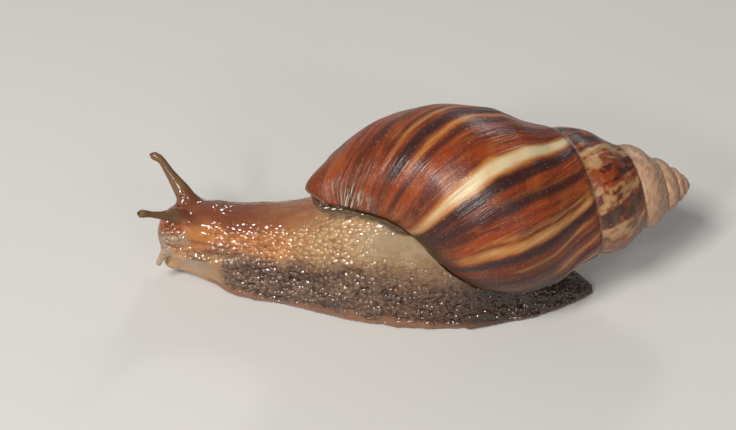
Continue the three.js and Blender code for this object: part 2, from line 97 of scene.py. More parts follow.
def noise(points, scale, seed):
    """Smooth noise between -1 and 1, at rows of points or at a tuple of their columns."""
    p = np.column_stack(points) if isinstance(points, tuple) else points
    p = p / scale
    p = np.concatenate([p, np.zeros((len(p), 3 - p.shape[1]))], axis=1)
    cell = np.floor(p).astype(np.int64)
    t = p - cell
    t = t * t * (3 - 2 * t)
    total = np.zeros(len(p))
    for step in product((0, 1), repeat=3):
        # A chance number for the cell's corner, hashed from its whole numbers.
        corner = cell + step
        key = corner[:, 0] * 73856093 ^ corner[:, 1] * 19349663
        key = key ^ corner[:, 2] * 83492791 ^ seed * 2654435761
        key = (key ^ (key >> 13)) * 1274126177 & 0x7FFFFFFF
        key = (key ^ (key >> 11)) * 668265263 & 0x7FFFFFFF
        share = np.where(step, t, 1 - t)
        total += ((key & 0xFFFF) / 32767.5 - 1) * share[:, 0] * share[:, 1] * share[:, 2]
    return total


def linked(name, data):
    """New object that holds the data, in the scene."""
    thing = bpy.data.objects.new(name, data)
    bpy.context.scene.collection.objects.link(thing)
    return thing


def make_mesh(name, points, faces):
    """Object from millimetre points and faces, smooth shaded."""
    mesh = bpy.data.meshes.new(name)
    mesh.from_pydata(to_frame(points).tolist(), [], faces)
    mesh.shade_smooth()
    return linked(name, mesh)


def read(items, name, width, kind=float):
    """Rows of one of a mesh's own arrays."""
    flat = np.empty(len(items) * width, dtype=kind)
    items.foreach_get(name, flat)
    return flat.reshape(-1, width)


def mesh_points(mesh):
    return read(mesh.vertices, "co", 3) / MM + ORIGIN


def mesh_normals(mesh):
    return read(mesh.vertex_normals, "vector", 3)


def set_points(mesh, points):
    mesh.vertices.foreach_set("co", to_frame(points).ravel())
    mesh.update()


def store(mesh, name, domain, values, kind="FLOAT", slot="value"):
    """Keep numbers on the points or face corners, for the material to read."""
    layer = mesh.attributes.new(name, kind, domain)
    layer.data.foreach_set(slot, np.asarray(values, dtype=np.float32).ravel())


def wind_outward(mesh):
    """Turn every face of a closed mesh to face outward."""
    work = bmesh.new()
    work.from_mesh(mesh)
    bmesh.ops.recalc_face_normals(work, faces=work.faces)
    work.to_mesh(mesh)
    work.free()


# ---- camera ----
CAMERA_TARGET = (0.0, 0.0, 19.5)
CAMERA_DISTANCE = 350.0
CAMERA_RISE = math.radians(40.0)
PICTURE_WIDTH = 736  # pixels
PIXEL = 0.234  # millimetres across one at the target
NEAREST_SEEN = 0.01  # metres


def make_camera():
    data = bpy.data.cameras.new("camera")
    data.sensor_fit = "HORIZONTAL"
    data.angle = 2 * math.atan(PICTURE_WIDTH * PIXEL / 2 / CAMERA_DISTANCE)
    data.clip_start = NEAREST_SEEN
    back = Vector((0, -math.cos(CAMERA_RISE), math.sin(CAMERA_RISE)))
    camera = linked("camera", data)
    camera.location = Vector(to_frame(CAMERA_TARGET)) + back * CAMERA_DISTANCE * MM
    camera.rotation_euler = back.to_track_quat("Z", "Y").to_euler()
    bpy.context.scene.camera = camera


make_camera()

# ---- shell shape ----
APEX = np.array([75.4, 4.6, 25.0])
AXIS_YAW = math.radians(11.0)
AXIS_RISE = math.radians(0.9)
SUTURE = 35.3
SHELL_LENGTH = 92.8
AXIAL_GROWTH = 1.86
RADIAL_GROWTH = 1.56
SPIRE_SWELL = 0.06
SIZE_ANGLE = 87.4
LIP_ANGLE = 40.0
FLARE = 3.4
FLARE_FROM = -59.0
FLARE_TO = 1.0
WHORL_PLACE = [0.13, 0.3, 0.5, 0.7, 0.87, 0.96, 1.0]
WHORL_RADIUS = [19.8, 24.4, 26.2, 23.9, 18.3, 12.2, 6.0]
COARSE_STEP = 11.25  # the solid's own step round the spiral, in degrees
# How the lip's edge departs from its growth line, down the whorl: degrees ahead of it,
# drawn in towards the axis, and further along the axis. It fades out over so many degrees.
LIP_PLACE = [0.5, 0.89, 0.97, 1.0]
LIP_AHEAD = [0, -2, 5, -24]
LIP_INWARD = [0, 1.1, 1.5, 0.3]
LIP_REACH = [0, 0, 1.6, 1.0]
LIP_FADE = 4 * COARSE_STEP

axis = np.array([
    -math.cos(AXIS_RISE) * math.cos(AXIS_YAW),
    -math.cos(AXIS_RISE) * math.sin(AXIS_YAW),
    math.sin(AXIS_RISE),
])
shell_up = np.array([0, 0, 1.0]) - axis * axis[2]
shell_up /= np.linalg.norm(shell_up)
shell_right = np.cross(axis, shell_up)
drop = SHELL_LENGTH - SUTURE
SUTURE_PLACE = (AXIAL_GROWTH - 1) * SUTURE / drop
SUTURE_RADIUS = float(curve_value(WHORL_PLACE, WHORL_RADIUS, SUTURE_PLACE))


def across(turns):
    swell = SPIRE_SWELL * (1 - np.exp(1.2 * np.minimum(turns, 0)))
    return RADIAL_GROWTH ** turns * (1 + swell)


def whorl_radius(turns, place):
    at_suture = across(turns - 1) / across(turns) * SUTURE_RADIUS
    return across(turns) * curve_value([0] + WHORL_PLACE, [at_suture] + WHORL_RADIUS, place)


def raw_lag(place):
    return 18 * (1 - np.exp(-place / 0.15)) + 30 * place + 32 * place ** 5


def growth_lag(place):
    """How far, in degrees, a growth line trails its start at the suture."""
    return -3 * COARSE_STEP * raw_lag(np.asarray(place, dtype=float)) / raw_lag(SUTURE_PLACE)


LIP_TURN = LIP_ANGLE - float(growth_lag(1.0))


def growth_point(growth, place, out=0.0):
    """Point of the shell wall on the growth line that starts at an angle, in degrees."""
    edge = np.clip(1 - (LIP_TURN - growth) / LIP_FADE, 0, 1)
    angle = growth + growth_lag(place) + edge * curve_value(LIP_PLACE, LIP_AHEAD, place)
    turns = (angle - SIZE_ANGLE) / 360
    radius = whorl_radius(turns, place) + out - edge * curve_value(LIP_PLACE, LIP_INWARD, place)
    near_lip = ramp(FLARE_FROM, FLARE_TO, angle)
    depth = AXIAL_GROWTH ** turns * (SUTURE + drop * place) + FLARE * near_lip * place ** 4
    depth = depth + edge * curve_value(LIP_PLACE, LIP_REACH, place)
    turned = np.radians(angle)
    point = APEX + depth[..., None] * axis
    point = point + (radius * np.cos(turned))[..., None] * shell_up
    return point + (radius * np.sin(turned))[..., None] * shell_right


STEPS = 256  # growth lines in one turn
STEP = 360 / STEPS
WHORLS = 6.5
ROWS_ABOVE = 26  # rows down a whorl that the next one leaves in sight
ROWS_BELOW = 44
ROWS = ROWS_ABOVE + ROWS_BELOW
TURNS_BACK = int(WHORLS * STEPS)
JOINED = STEPS - round(3 * COARSE_STEP / STEP)  # steps back at which the suture meets the lip
# Aperture: shares of the way in from the lip to the turn before, and how deep it lies there.
APERTURE_SHARE = [0.012, 0.022, 0.03, 0.04, 0.06, 0.1, 0.2, 0.35, 0.5, 0.65, 0.8, 0.92]
APERTURE_RECESS = [0.05, 0.3, 1.0, 1.9, 2.6, 3.0, 3.0, 3.0, 3.0, 2.8, 2.0, 0.8]


def row_places(above, below, upper_power, lower_power):
    """Places of rows down a whorl: so many above its suture line, and the rest below."""
    rows = np.linspace(0, 1, above + 1) ** upper_power * SUTURE_PLACE
    rest = 1 - (1 - np.linspace(0, 1, below + 1)[1:]) ** lower_power
    return np.concatenate([rows, SUTURE_PLACE + (1 - SUTURE_PLACE) * rest])


def growth_relief(growth, place, size):
    """Low ridges and rest marks left by growth, in millimetres."""
    along = (growth, place * 6)
    relief = 0.10 * noise(along, 4.1, 11) + 0.16 * noise(along, 9.0, 12)
    relief += 0.20 * noise(along, 23.0, 13)
    relief += 0.16 * noise((growth, place * 60), 13.0, 14)
    relief += 0.30 * noise((growth, place * 40), 3.2, 15) * np.exp(-place / 0.035)
    relief += 0.85 * ramp(0, 0.04, place) * np.exp(-place / 0.16)
    swollen = 0.4 * ramp(-120, -200, growth) + 1.5 * ramp(-280, -450, growth)
    relief += swollen * np.sin(np.pi * np.clip(place / SUTURE_PLACE, 0, 1))
    return relief * size


def shell_grid():
    """Points, growth angles and places of the ribbon that winds up the shell."""
    back, row = np.meshgrid(np.arange(TURNS_BACK + 1), np.arange(ROWS + 1), indexing="ij")
    growth = LIP_TURN - back * STEP
    place = row_places(ROWS_ABOVE, ROWS_BELOW, 1.15, 1.3)[row]
    points = growth_point(growth, place)
    size = across((growth - SIZE_ANGLE) / 360)
    normal = np.cross(np.gradient(points, axis=0), np.gradient(points, axis=1))
    from_axis = points - APEX
    from_axis -= (from_axis @ axis)[..., None] * axis
    normal *= np.sign((normal * from_axis).sum(-1))[..., None]
    normal /= np.maximum(length(normal), 1e-9)[..., None]
    relief = growth_relief(growth.ravel(), place.ravel(), size.ravel()).reshape(place.shape)
    hold = np.clip(row / 2, 0, 1) * ramp(1, 0.9, place)
    points = points + normal * (relief * hold)[..., None]
    return points, growth, place


def zipper(points, faces, first, second):
    """Triangles between two lines of corners that share both their ends."""
    i = 0
    j = 0
    n = len(first) - 1
    m = len(second) - 1
    while i < n or j < m:
        step_first = math.inf
        step_second = math.inf
        if i < n:
            step_first = np.linalg.norm(points[first[i + 1]] - points[second[j]])
        if j < m:
            step_second = np.linalg.norm(points[second[j + 1]] - points[first[i]])
        if step_first <= step_second:
            corners = [first[i], first[i + 1], second[j]]
            i += 1
        else:
            corners = [first[i], second[j + 1], second[j]]
            j += 1
        if len(set(corners)) == 3:
            faces.append(corners)


def add_pillar(points, faces, base, steps):
    """Straight pillar between the ends of the base line, filled in up to that line."""
    top = points[base[0]]
    foot = points[base[-1]]
    pillar = [base[0]]
    for i in range(1, steps):
        pillar.append(len(points))
        points.append(top + (foot - top) * i / steps)
    pillar.append(base[-1])
    zipper(points, faces, base, pillar)
    return pillar


def add_aperture(points, faces, outer, inner, backward):
    """Lip with a thickness, and behind it a wall that turns inward."""
    ends = np.sin(np.linspace(0, np.pi, ROWS + 1)) ** 0.35
    lines = [outer]
    for share, recess in zip(APERTURE_SHARE, APERTURE_RECESS):
        line = [outer[0]]
        for k in range(1, ROWS):
            p = points[outer[k]] + (points[inner[k]] - points[outer[k]]) * share
            line.append(len(points))
            points.append(p + backward[k] * recess * ends[k])
        line.append(outer[-1])
        lines.append(line)
    lines.append(inner)
    for one, two in zip(lines[:-1], lines[1:]):
        for k in range(ROWS):
            ring = [one[k], one[k + 1], two[k + 1], two[k]]
            ring = [c for i, c in enumerate(ring) if c != ring[i - 1]]
            if len(ring) > 2:
                faces.append(ring)


def build_shell():
    """Points, faces, and the growth angle and place of each corner of the outer wall."""
    grid, growth, place = shell_grid()
    used = {}
    points = []
    faces = []
    marks = []

    def corner(back, row):
        if row == 0 and back + JOINED <= TURNS_BACK:
            return corner(back + JOINED, ROWS_ABOVE)
        if (back, row) not in used:
            used[back, row] = len(points)
            points.append(grid[back, row])
        return used[back, row]

    for back in range(TURNS_BACK, 0, -1):
        rows = ROWS if back <= JOINED else ROWS_ABOVE
        for row in range(rows):
            around = [(back, row), (back, row + 1), (back - 1, row + 1), (back - 1, row)]
            faces.append([corner(*c) for c in around])
            marks.extend((growth[c], place[c]) for c in around)
    tip = len(points)
    points.append(APEX.copy())
    for back in range(TURNS_BACK, TURNS_BACK - JOINED, -1):
        faces.append([tip, corner(back, 0), corner(back - 1, 0)])
    for row in range(ROWS_ABOVE):
        faces.append([tip, corner(TURNS_BACK, row + 1), corner(TURNS_BACK, row)])
    inner = [corner(JOINED, row) for row in range(ROWS_ABOVE, ROWS + 1)]
    outer = [corner(0, row) for row in range(ROWS + 1)]
    base = [corner(back, ROWS) for back in range(JOINED, -1, -1)]
    inner += add_pillar(points, faces, base, len(outer) - len(inner))[1:]
    backward = grid[4] - grid[0]
    backward /= length(backward)[:, None]
    add_aperture(points, faces, outer, inner, backward)
    return np.array(points), faces, np.array(marks)


# Cream and dark streaks of the last turn: growth angle where each crosses the middle of
# the whorl, half width, lean over the whorl, strength, first and last place it shows.
CREAM_STREAKS = [
    (2.5, 5.2, -5, 1, 0, 1),
    (10, 3, 6, 0.35, 0, 0.25),
    (-42, 4, 12, 0.52, 0.02, 0.80),
    (-35.5, 2.6, 12, 0.30, 0, 0.7),
    (-59.5, 2.4, 4, 0.45, 0.1, 0.5),
    (54.5, 2.8, -6, 0.44, 0.25, 0.85),
    (61, 2, -4, 0.30, 0.3, 0.8),
    (38, 3, -8, 0.48, 0.2, 0.8),
    (25, 4, -6, 0.26, 0.75, 1),
    (-17, 2, 8, 0.25, 0.1, 0.9),
    (84, 2.2, -6, 0.30, 0.5, 0.95),
    (-78, 3, 6, 0.42, 0, 0.8),
    (-100, 3.6, 6, 0.6, 0, 0.9),
    (-128, 3, 6, 0.5, 0, 0.9),
]
DARK_STREAKS = [
    (-7, 4.6, -1, 1, 0, 1),
    (-19, 5.5, 12, 0.75, 0.05, 0.95),
    (-27.5, 2.2, 12, 0.5, 0.1, 0.9),
    (-49.5, 4, 10, 0.95, 0, 0.85),
    (-57, 2.6, 8, 0.4, 0.2, 0.8),
    (-69, 3, 6, 0.7, 0, 0.8),
    (-88, 5, 6, 0.8, 0, 0.9),
    (-114, 6, 6, 0.8, 0, 0.9),
    (45.5, 5.2, -7, 0.95, 0.2, 0.85),
    (31.5, 3.4, -3, 0.65, 0.2, 0.95),
    (15, 2.6, 5, 0.45, 0, 0.45),
    (71, 4, -6, 0.5, 0.3, 0.8),
    (90, 3, -6, 0.45, 0.5, 0.9),
    (104, 2.2, -6, 0.5, 0.5, 1),
]


def streak_field(streaks, growth, place):
    field = np.zeros(len(growth))
    wander = 1.3 * noise((place * 10, growth * 0.05), 1.6, 21)
    wander += 0.7 * noise((place * 10, growth * 0.2), 0.6, 22)
    for centre, half, lean, strength, first, last in streaks:
        middle = centre + lean * (place - 0.5) + wander
        value = strength * np.exp(-((growth - middle) / half) ** 2 * 1.2)
        value = value * ramp(first - 0.12, first + 0.04, place)
        value = value * ramp(last + 0.12, last - 0.04, place)
        field = np.maximum(field, value)
    return field


def shell_marks(growth, place):
    """Streaks, wear, painted shade and other fields that colour the shell."""
    old = ramp(-112, -140, growth)
    wave = 7 * noise((growth, place * 14), 6.0, 33)
    lean = growth - 10 * (place - 0.25) + wave
    spire = noise((lean, place * 16), 8.0, 31)
    spire += 0.6 * noise((growth, place * 60), 5.0, 32)
    spire += 0.4 * noise((growth, place * 90), 2.2, 34)
    cream = streak_field(CREAM_STREAKS, growth, place) * (1 - old)
    cream *= 1 - 0.42 * ramp(0.55, 0.95, place)
    cream += old * ramp(0.15, 0.95, spire) * 0.62
    dark = streak_field(DARK_STREAKS, growth, place) * (1 - old)
    dark += old * ramp(0.10, -0.65, spire) * 0.85
    worn = ramp(-372, -520, growth + 12 * noise((place * 20,), 1.0, 35))
    # Rim and underside: painted shade that darkens the lower part of the whorl near the lip and the
    # shell's underside.
    rim = ramp(0.70, 0.93, place) * ramp(35, -35, growth)
    under = ramp(-38, -72, growth) * ramp(-125, -105, growth)
    rim = np.maximum(rim, 0.85 * under * ramp(0.16, 0.36, place))
    lip = ramp(LIP_TURN - 4, LIP_TURN - 0.5, growth)
    size = across((growth - SIZE_ANGLE) / 360)
    return {
        "cream": cream, "dark": dark, "worn": worn, "rim": rim, "lip": lip,
        "flakes": bump(growth, 68, 34) * ramp(0.945, 0.98, place),
        "spire": old,
        # Distance along the growth of the shell, and down the whorl, in millimetres.
        "along": size * 25 * 2 * np.pi / math.log(RADIAL_GROWTH),
        "down": place * 62 * size,
        # The seam between whorls, where painted shade and pale scuffs lie.
        "seam": np.exp(-place / 0.012) + 0.5 * bump(place, SUTURE_PLACE, 0.02) * old,
    }


def make_shell():
    points, faces, marks = build_shell()
    shell = make_mesh("shell_whorls", points, faces)
    mesh = shell.data
    corners = len(mesh.loops)
    for name, values in shell_marks(marks[:, 0], marks[:, 1]).items():
        store(mesh, name, "CORNER", np.pad(values, (0, corners - len(values))))
    store(mesh, "inside", "CORNER", np.arange(corners) >= len(marks))
    wind_outward(mesh)
    return shell


shell = make_shell()
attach(shell, "root")
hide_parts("shell")

# ---- skin shape ----
# Along the animal: x, midline y, half width of the sole, half width of the body, height
# of its widest part, height of its back, height of its underside.
BODY = np.array([
    [-50.4, 3, 0.8, 1.4, 11.6, 13.4, 9.6],
    [-49.6, 3, 2.2, 3.8, 11, 15.6, 6.6],
    [-47.4, 3, 3.8, 6, 10.4, 18.2, 3],
    [-43.5, 3, 4.8, 7.6, 10.2, 20, 1.7],
    [-38, 2.9, 6.9, 8.6, 9.8, 20, 0.6],
    [-31, 2.5, 10.6, 9.4, 9.4, 19, 0],
    [-22, 1.6, 12.2, 10.2, 9.6, 19.6, 0],
    [-14, 0, 13.2, 11, 10.6, 22.4, 0],
    [-6, -1.6, 14.3, 12.8, 12, 29, 0],
    [4, -3, 15.2, 14.2, 11.6, 33, 0],
    [14, -4, 15.3, 14.2, 10, 31, 0],
    [24, -4.4, 14.6, 12.8, 7.6, 21, 0],
    [34, -4.4, 12.4, 10.6, 5.6, 12, 0],
    [44, -4.4, 8.8, 7.2, 4, 6.8, 0],
    [51, -4.7, 4.4, 3.4, 2.2, 3.4, 0],
    [53.9, -4.8, 1.4, 1, 1, 1.6, 0],
])
SOLE_EDGE = 1.0
FEELERS = {
    "upper_right": ([[-41, 6.2, 16], [-43.2, 6.3, 20.2], [-46.9, 9.6, 24.4],
                     [-49.3, 11.6, 27.2], [-51.6, 12.6, 27.7]], (3.5, 0.95, 1.1)),
    "upper_left": ([[-40.8, -0.5, 16], [-44, -0.6, 19.4], [-48, -3.7, 22.5],
                    [-50.6, -5.5, 24.4], [-52.5, -6.7, 25.6]], (2.9, 0.85, 1.05)),
    "lower_right": ([[-45, 6.4, 12.6], [-47.6, 7.8, 10.6], [-50.1, 9.2, 6.6]],
                    (1.9, 0.85, 0.8)),
    "lower_left": ([[-45, -0.4, 12.6], [-47.6, -1.8, 10.6], [-50.1, -3.2, 6.6]],
                   (1.9, 0.85, 0.8)),
}
ROOT_CLUSTER = np.array([-43.6, 4.8, 19.6])
LIP_CENTRE = np.array([-46.6, 3.0, 5.0])
LIP_SPREAD = 2.6
LIP_SIZE = np.array([2.8, 2.4, 2.6])
# Collar: its radius along its line, how far in from the lip's edge and behind it its middle
# lies, how many coarse steps it follows the foot of the whorl, and how far inside and below.
COLLAR_PLACE = [0, 0.55, 0.75, 1]
COLLAR_RADIUS = [1.6, 1.6, 1.2, 1.0]
COLLAR_INSET = 2.4
COLLAR_BEHIND = 0.9
COLLAR_FOLLOW = 14
COLLAR_FOOT_INSET = 1.0
COLLAR_BELOW = 0.5
COLLAR_END = 0.05
VOXEL = 0.36
BODY_STEPS = 260
FLANK_ROWS = 9
BACK_ROWS = 20
FEELER_STEPS = 60
COLLAR_STEPS = 110
SHELL_GAP = 0.3  # between shell and skin
RELIEF_GAP = 0.18  # the least that the relief leaves of it
SKIN_INSET = 0.38  # how far the skin lies inside the solids of the flesh
SHELL_NEAR = 1.2  # how far from the shell its gap is looked at
ROOT_PASSES = 22  # of softening where feelers and lips join the head
SKIN_PASSES = 5  # of softening all over
COARSE_GAP = 1.25  # between the grains of the foot
FINE_GAP = 0.92  # between the grains of the neck
NECK_GRAIN_HEIGHT = 0.13
FOOT_GRAIN_MORE = 0.15  # by which a grain of the foot stands higher
FOLD_HEIGHT = 0.09


def stations(x):
    """Midline, half sole, half body, waist, back, underside and the sole's edge at each x."""
    midline, sole, wide, waist, back, lift = (
        curve_value(BODY[:, 0], BODY[:, k], x) for k in range(1, 7))
    return midline, sole, wide, waist, back, lift, lift + np.minimum(SOLE_EDGE, 0.4 * back)


def body_solid():
    """Closed skin of foot and body."""
    t = np.linspace(0, 1, BODY_STEPS)
    x = BODY[0, 0] + (BODY[-1, 0] - BODY[0, 0]) * (t - 0.1 * np.sin(2 * np.pi * t))
    midline, sole, wide, waist, back, lift, edge = stations(x)
    ys = [0 * x, 0.5 * sole, np.maximum(sole - 1.2, 0.7 * sole), sole]
    zs = [lift, lift, lift, edge]
    for s in np.linspace(0.12, 0.94, FLANK_ROWS):
        ys.append(0.985 * sole + (wide - 0.985 * sole) * (s * s * (3 - 2 * s)))
        zs.append(edge + (0.1 + 0.9 * s) * (waist - edge))
    for angle in np.linspace(0, np.pi / 2, BACK_ROWS):
        ys.append(wide * math.cos(angle))
        zs.append(waist + (back - waist) * math.sin(angle))
    half = np.stack([ys, zs], axis=2).swapaxes(0, 1)
    ring = np.concatenate([half, half[:, -2:0:-1] * [-1, 1]], axis=1)
    ring[..., 0] += midline[:, None]
    along = np.repeat(x[:, None, None], ring.shape[1], axis=1)
    return lofted(np.concatenate([along, ring], axis=2))


def lofted(rings):
    """Points and faces of rows of closed rings, both ends capped."""
    rows, n = rings.shape[:2]
    here = np.arange(rows * n).reshape(rows, n)
    onward = np.roll(here, -1, axis=1)
    faces = np.stack([here[:-1], onward[:-1], onward[1:], here[1:]], axis=2).reshape(-1, 4).tolist()
    hub = rows * n
    faces += [[hub, b, a] for a, b in zip(here[0].tolist(), onward[0].tolist())]
    faces += [[hub + 1, a, b] for a, b in zip(here[-1].tolist(), onward[-1].tolist())]
    return np.vstack([rings.reshape(-1, 3), rings[0].mean(axis=0), rings[-1].mean(axis=0)]), faces


def line_through(path, count):
    """Evenly spaced points of a smooth curve through a path."""
    p = np.array(path, dtype=float)
    p = np.vstack([2 * p[0] - p[1], p, 2 * p[-1] - p[-2]])
    dense = []
    for i in range(1, len(p) - 2):
        a, b, c, d = p[i - 1:i + 3]
        ab, bc, cd = (math.sqrt(np.linalg.norm(v)) for v in (b - a, c - b, d - c))
        start = ((b - a) / ab - (c - a) / (ab + bc) + (c - b) / bc) * bc
        end = ((c - b) / bc - (d - b) / (bc + cd) + (d - c) / cd) * bc
        for t in np.linspace(0, 1, 24, endpoint=i == len(p) - 3):
            dense.append(b + start * t + (3 * (c - b) - 2 * start - end) * t * t
                         + (2 * (b - c) + start + end) * t ** 3)
    dense = np.array(dense)
    run = np.concatenate([[0], np.cumsum(length(np.diff(dense, axis=0)))])
    even = np.linspace(0, run[-1], count)
    return np.stack([np.interp(even, run, dense[:, k]) for k in range(3)], axis=1)


def tube(line, radii, sides=24):
    """Closed round bar along a line of points."""
    ahead = np.gradient(line, axis=0)
    ahead /= length(ahead)[:, None]
    normal = np.cross(ahead[0], [0.3, 0.2, 1.0])
    rings = []
    turn = np.linspace(0, 2 * np.pi, sides, endpoint=False)
    for centre, direction, radius in zip(line, ahead, radii):
        normal = normal - direction * (normal @ direction)
        normal /= np.linalg.norm(normal)
        other = np.cross(direction, normal)
        rings.append(centre + radius * (np.outer(np.cos(turn), normal)
                                        + np.outer(np.sin(turn), other)))
    return lofted(np.array(rings))


def feeler(name):
    """Middle line and radii of one feeler."""
    path, (root, waist, knob) = FEELERS[name]
    t = np.linspace(0, 1, FEELER_STEPS)
    rounded = np.sqrt(np.clip(1 - np.clip((t - 0.94) / 0.06, 0, 1) ** 2, 0, 1))
    widths = [root, 0.6 * root + 0.4 * waist, waist, knob, knob]
    radii = curve_value([0, 0.25, 0.8, 0.93, 1], widths, t) * np.maximum(rounded, 0.25)
    return line_through(path, FEELER_STEPS), radii


def collar_line():
    """Just inside the lip, then along the foot of the whorl."""
    places = row_places(5, 8, 1.0, 1.4)  # the rows of the solid
    at_lip = LIP_TURN + 0 * places
    rim = growth_point(at_lip, places)
    behind = (growth_point(at_lip - COARSE_STEP, places) - rim)[1:-1]
    inward = np.cross(rim[2:] - rim[:-2], behind)
    towards = (growth_point(at_lip, places, -1.0) - rim)[1:-1]
    inward *= np.sign((inward * towards).sum(axis=1))[:, None]
    inward *= COLLAR_INSET / length(inward)[:, None]
    behind *= COLLAR_BEHIND / length(behind)[:, None]
    back = np.arange(0, COLLAR_FOLLOW + 1, 2) * COARSE_STEP
    base = growth_point(LIP_TURN - back, 1.0 + 0 * back, -COLLAR_FOOT_INSET)
    line = np.vstack([rim[1:-1] + inward + behind, base + axis * COLLAR_BELOW])
    return line_through(line, COLLAR_STEPS)


def collar_radii():
    t = np.linspace(0, 1, COLLAR_STEPS)
    into_end = np.clip(1 - np.minimum(t, 1 - t) / COLLAR_END, 0, 1)
    rounded = np.maximum(np.sqrt(1 - into_end ** 2), 0.3)
    return curve_value(COLLAR_PLACE, COLLAR_RADIUS, t) * rounded


def ball(centre, size, rows=24, sides=32):
    lift = np.linspace(-np.pi / 2, np.pi / 2, rows + 1)[1:-1]
    turn = np.linspace(0, 2 * np.pi, sides, endpoint=False)
    rings = np.stack([
        np.outer(np.sin(lift), 1 + 0 * turn),
        np.outer(np.cos(lift), np.cos(turn)),
        np.outer(np.cos(lift), np.sin(turn)),
    ], axis=2)
    return lofted(rings * size + centre)


def joined(parts):
    points = []
    faces = []
    for part_points, part_faces in parts:
        shift = sum(len(p) for p in points)
        points.append(part_points)
        faces.extend([[c + shift for c in face] for face in part_faces])
    return np.vstack(points), faces


def with_modifier(piece, kind, **settings):
    """Apply one modifier to a piece's mesh."""
    modifier = piece.modifiers.new(kind.lower(), kind)
    for name, value in settings.items():
        setattr(modifier, name, value)
    graph = bpy.context.evaluated_depsgraph_get()
    mesh = bpy.data.meshes.new_from_object(piece.evaluated_get(graph))
    piece.modifiers.clear()
    old = piece.data
    piece.data = mesh
    bpy.data.meshes.remove(old)


def swollen_shell(distance):
    cutter = linked("cutter", shell.data.copy())
    mesh = cutter.data
    set_points(mesh, mesh_points(mesh) + mesh_normals(mesh) * distance)
    return cutter


def pull(points, edges, count):
    """Step from each point to the mean of its neighbours."""
    total = np.zeros_like(points)
    np.add.at(total, edges[:, 0], points[edges[:, 1]])
    np.add.at(total, edges[:, 1], points[edges[:, 0]])
    return total / np.maximum(count, 1) - points


def relaxed(points, edges, passes, strength, keep_volume=True):
    """Points eased towards their neighbours; strength may differ from point to point."""
    count = np.bincount(edges.ravel(), minlength=len(points))[:, None]
    strength = np.broadcast_to(strength, len(points))[:, None]
    for _ in range(passes):
        points = points + pull(points, edges, count) * strength
        if keep_volume:
            points = points - pull(points, edges, count) * strength * 1.04
    return points


def make_skin_base():
    """One closed skin over foot, body, feelers, lips and collar, cut clear of the shell."""
    parts = [body_solid()]
    parts.extend(tube(*feeler(name)) for name in FEELERS)
    for side in (-1, 1):
        parts.append(ball(LIP_CENTRE + [0, side * LIP_SPREAD, 0], LIP_SIZE))
    parts.append(tube(collar_line(), collar_radii()))
    piece = make_mesh("skin", *joined(parts))
    with_modifier(piece, "REMESH", mode="VOXEL", voxel_size=VOXEL * MM)
    cutter = swollen_shell(SHELL_GAP)
    with_modifier(piece, "BOOLEAN", operation="DIFFERENCE", solver="MANIFOLD", object=cutter)
    bpy.data.objects.remove(cutter)
    with_modifier(piece, "REMESH", mode="VOXEL", voxel_size=VOXEL * MM)
    return piece


skin = make_skin_base()


def body_place(points):
    """Place round the body: 0 along the back, 0.6 at the waist, 1 at the sole's margin."""
    midline, _, wide, waist, back, _, edge = stations(points[:, 0])
    out = np.abs(points[:, 1] - midline) / np.maximum(wide, 0.5)
    up = (points[:, 2] - waist) / np.maximum(back - waist, 0.5)
    upper = 0.6 * (1 - np.arctan2(up, out) / (np.pi / 2))
    lower = 0.6 + 0.4 * (waist - points[:, 2]) / np.maximum(waist - edge, 0.5)
    return np.clip(np.where(points[:, 2] >= waist, upper, lower), 0, 1.2)


def reach_to(points, line):
    """Distance of each point to a line of points, and the share of it passed there."""
    nearest = np.full(len(points), 1e9)
    share = np.zeros(len(points))
    for i, centre in enumerate(line):
        away = length(points - centre)
        closer = away < nearest
        nearest[closer] = away[closer]
        share[closer] = i / (len(line) - 1)
    return nearest, share


def scattered(points, spacing, rng):
    """Picks among points, none nearer to another than the spacing at each."""
    cell = float(spacing.max())
    cells = (points // cell).astype(int).tolist()
    spots = points.tolist()
    grid = {}
    picked = []
    for i in rng.permutation(len(points)):
        around = product(*((c - 1, c, c + 1) for c in cells[i]))
        near = (q for key in around for q in grid.get(key, ()))
        if all(math.dist(spots[i], q) >= spacing[i] for q in near):
            grid.setdefault(tuple(cells[i]), []).append(spots[i])
            picked.append(i)
    return np.array(picked)


def tubercles(points, spacing, seed):
    """Height, between 0 and 1, of round grains packed over a skin."""
    rng = np.random.default_rng(seed)
    picked = scattered(points, spacing, rng)
    tree = KDTree(len(picked))
    for i, k in enumerate(picked):
        tree.insert(points[k], i)
    tree.balance()
    chance = rng.random(len(picked))
    height = np.empty(len(points))
    for i, (p, gap) in enumerate(zip(points, spacing)):
        (_, index, near), (_, _, far) = tree.find_n(p, 2)
        groove = min((far - near) / (0.8 * gap), 1)
        dome = max(0.0, 1 - 0.9 * (near / gap) ** 2)
        height[i] = groove * (2 - groove) * dome * (0.65 + 0.35 * chance[index])
    return height


def head_level(points):
    """Level on the head that drops away from its midline, as the eye lines of a snail do."""
    return points[:, 2] - 0.84 * np.abs(points[:, 1] - LIP_CENTRE[1])


def feeler_regions(points):
    """Shares of skin on the feelers, on the lower two and at the roots, and how far along."""
    on_any, lower, root, passed = np.zeros((4, len(points)))
    for name, (path, _) in FEELERS.items():
        line, radii = feeler(name)
        away, share = reach_to(points, line)
        width = radii[(share * (FEELER_STEPS - 1)).astype(int)]
        begins = 0.30 if name.startswith("upper") else 0.25
        on = ramp(width + 0.9, width + 0.25, away)
        on = on * ramp(begins - 0.12, begins + 0.1, share)
        on_any = np.maximum(on_any, on)
        if name.startswith("lower"):
            lower = np.maximum(lower, on)
        passed = np.where(on > 0.05, share, passed)
        root = np.maximum(root, ramp(5.5, 1.5, length(points - path[1])))
    return {"feeler": on_any, "lower": lower, "root": root, "feeler_share": passed}


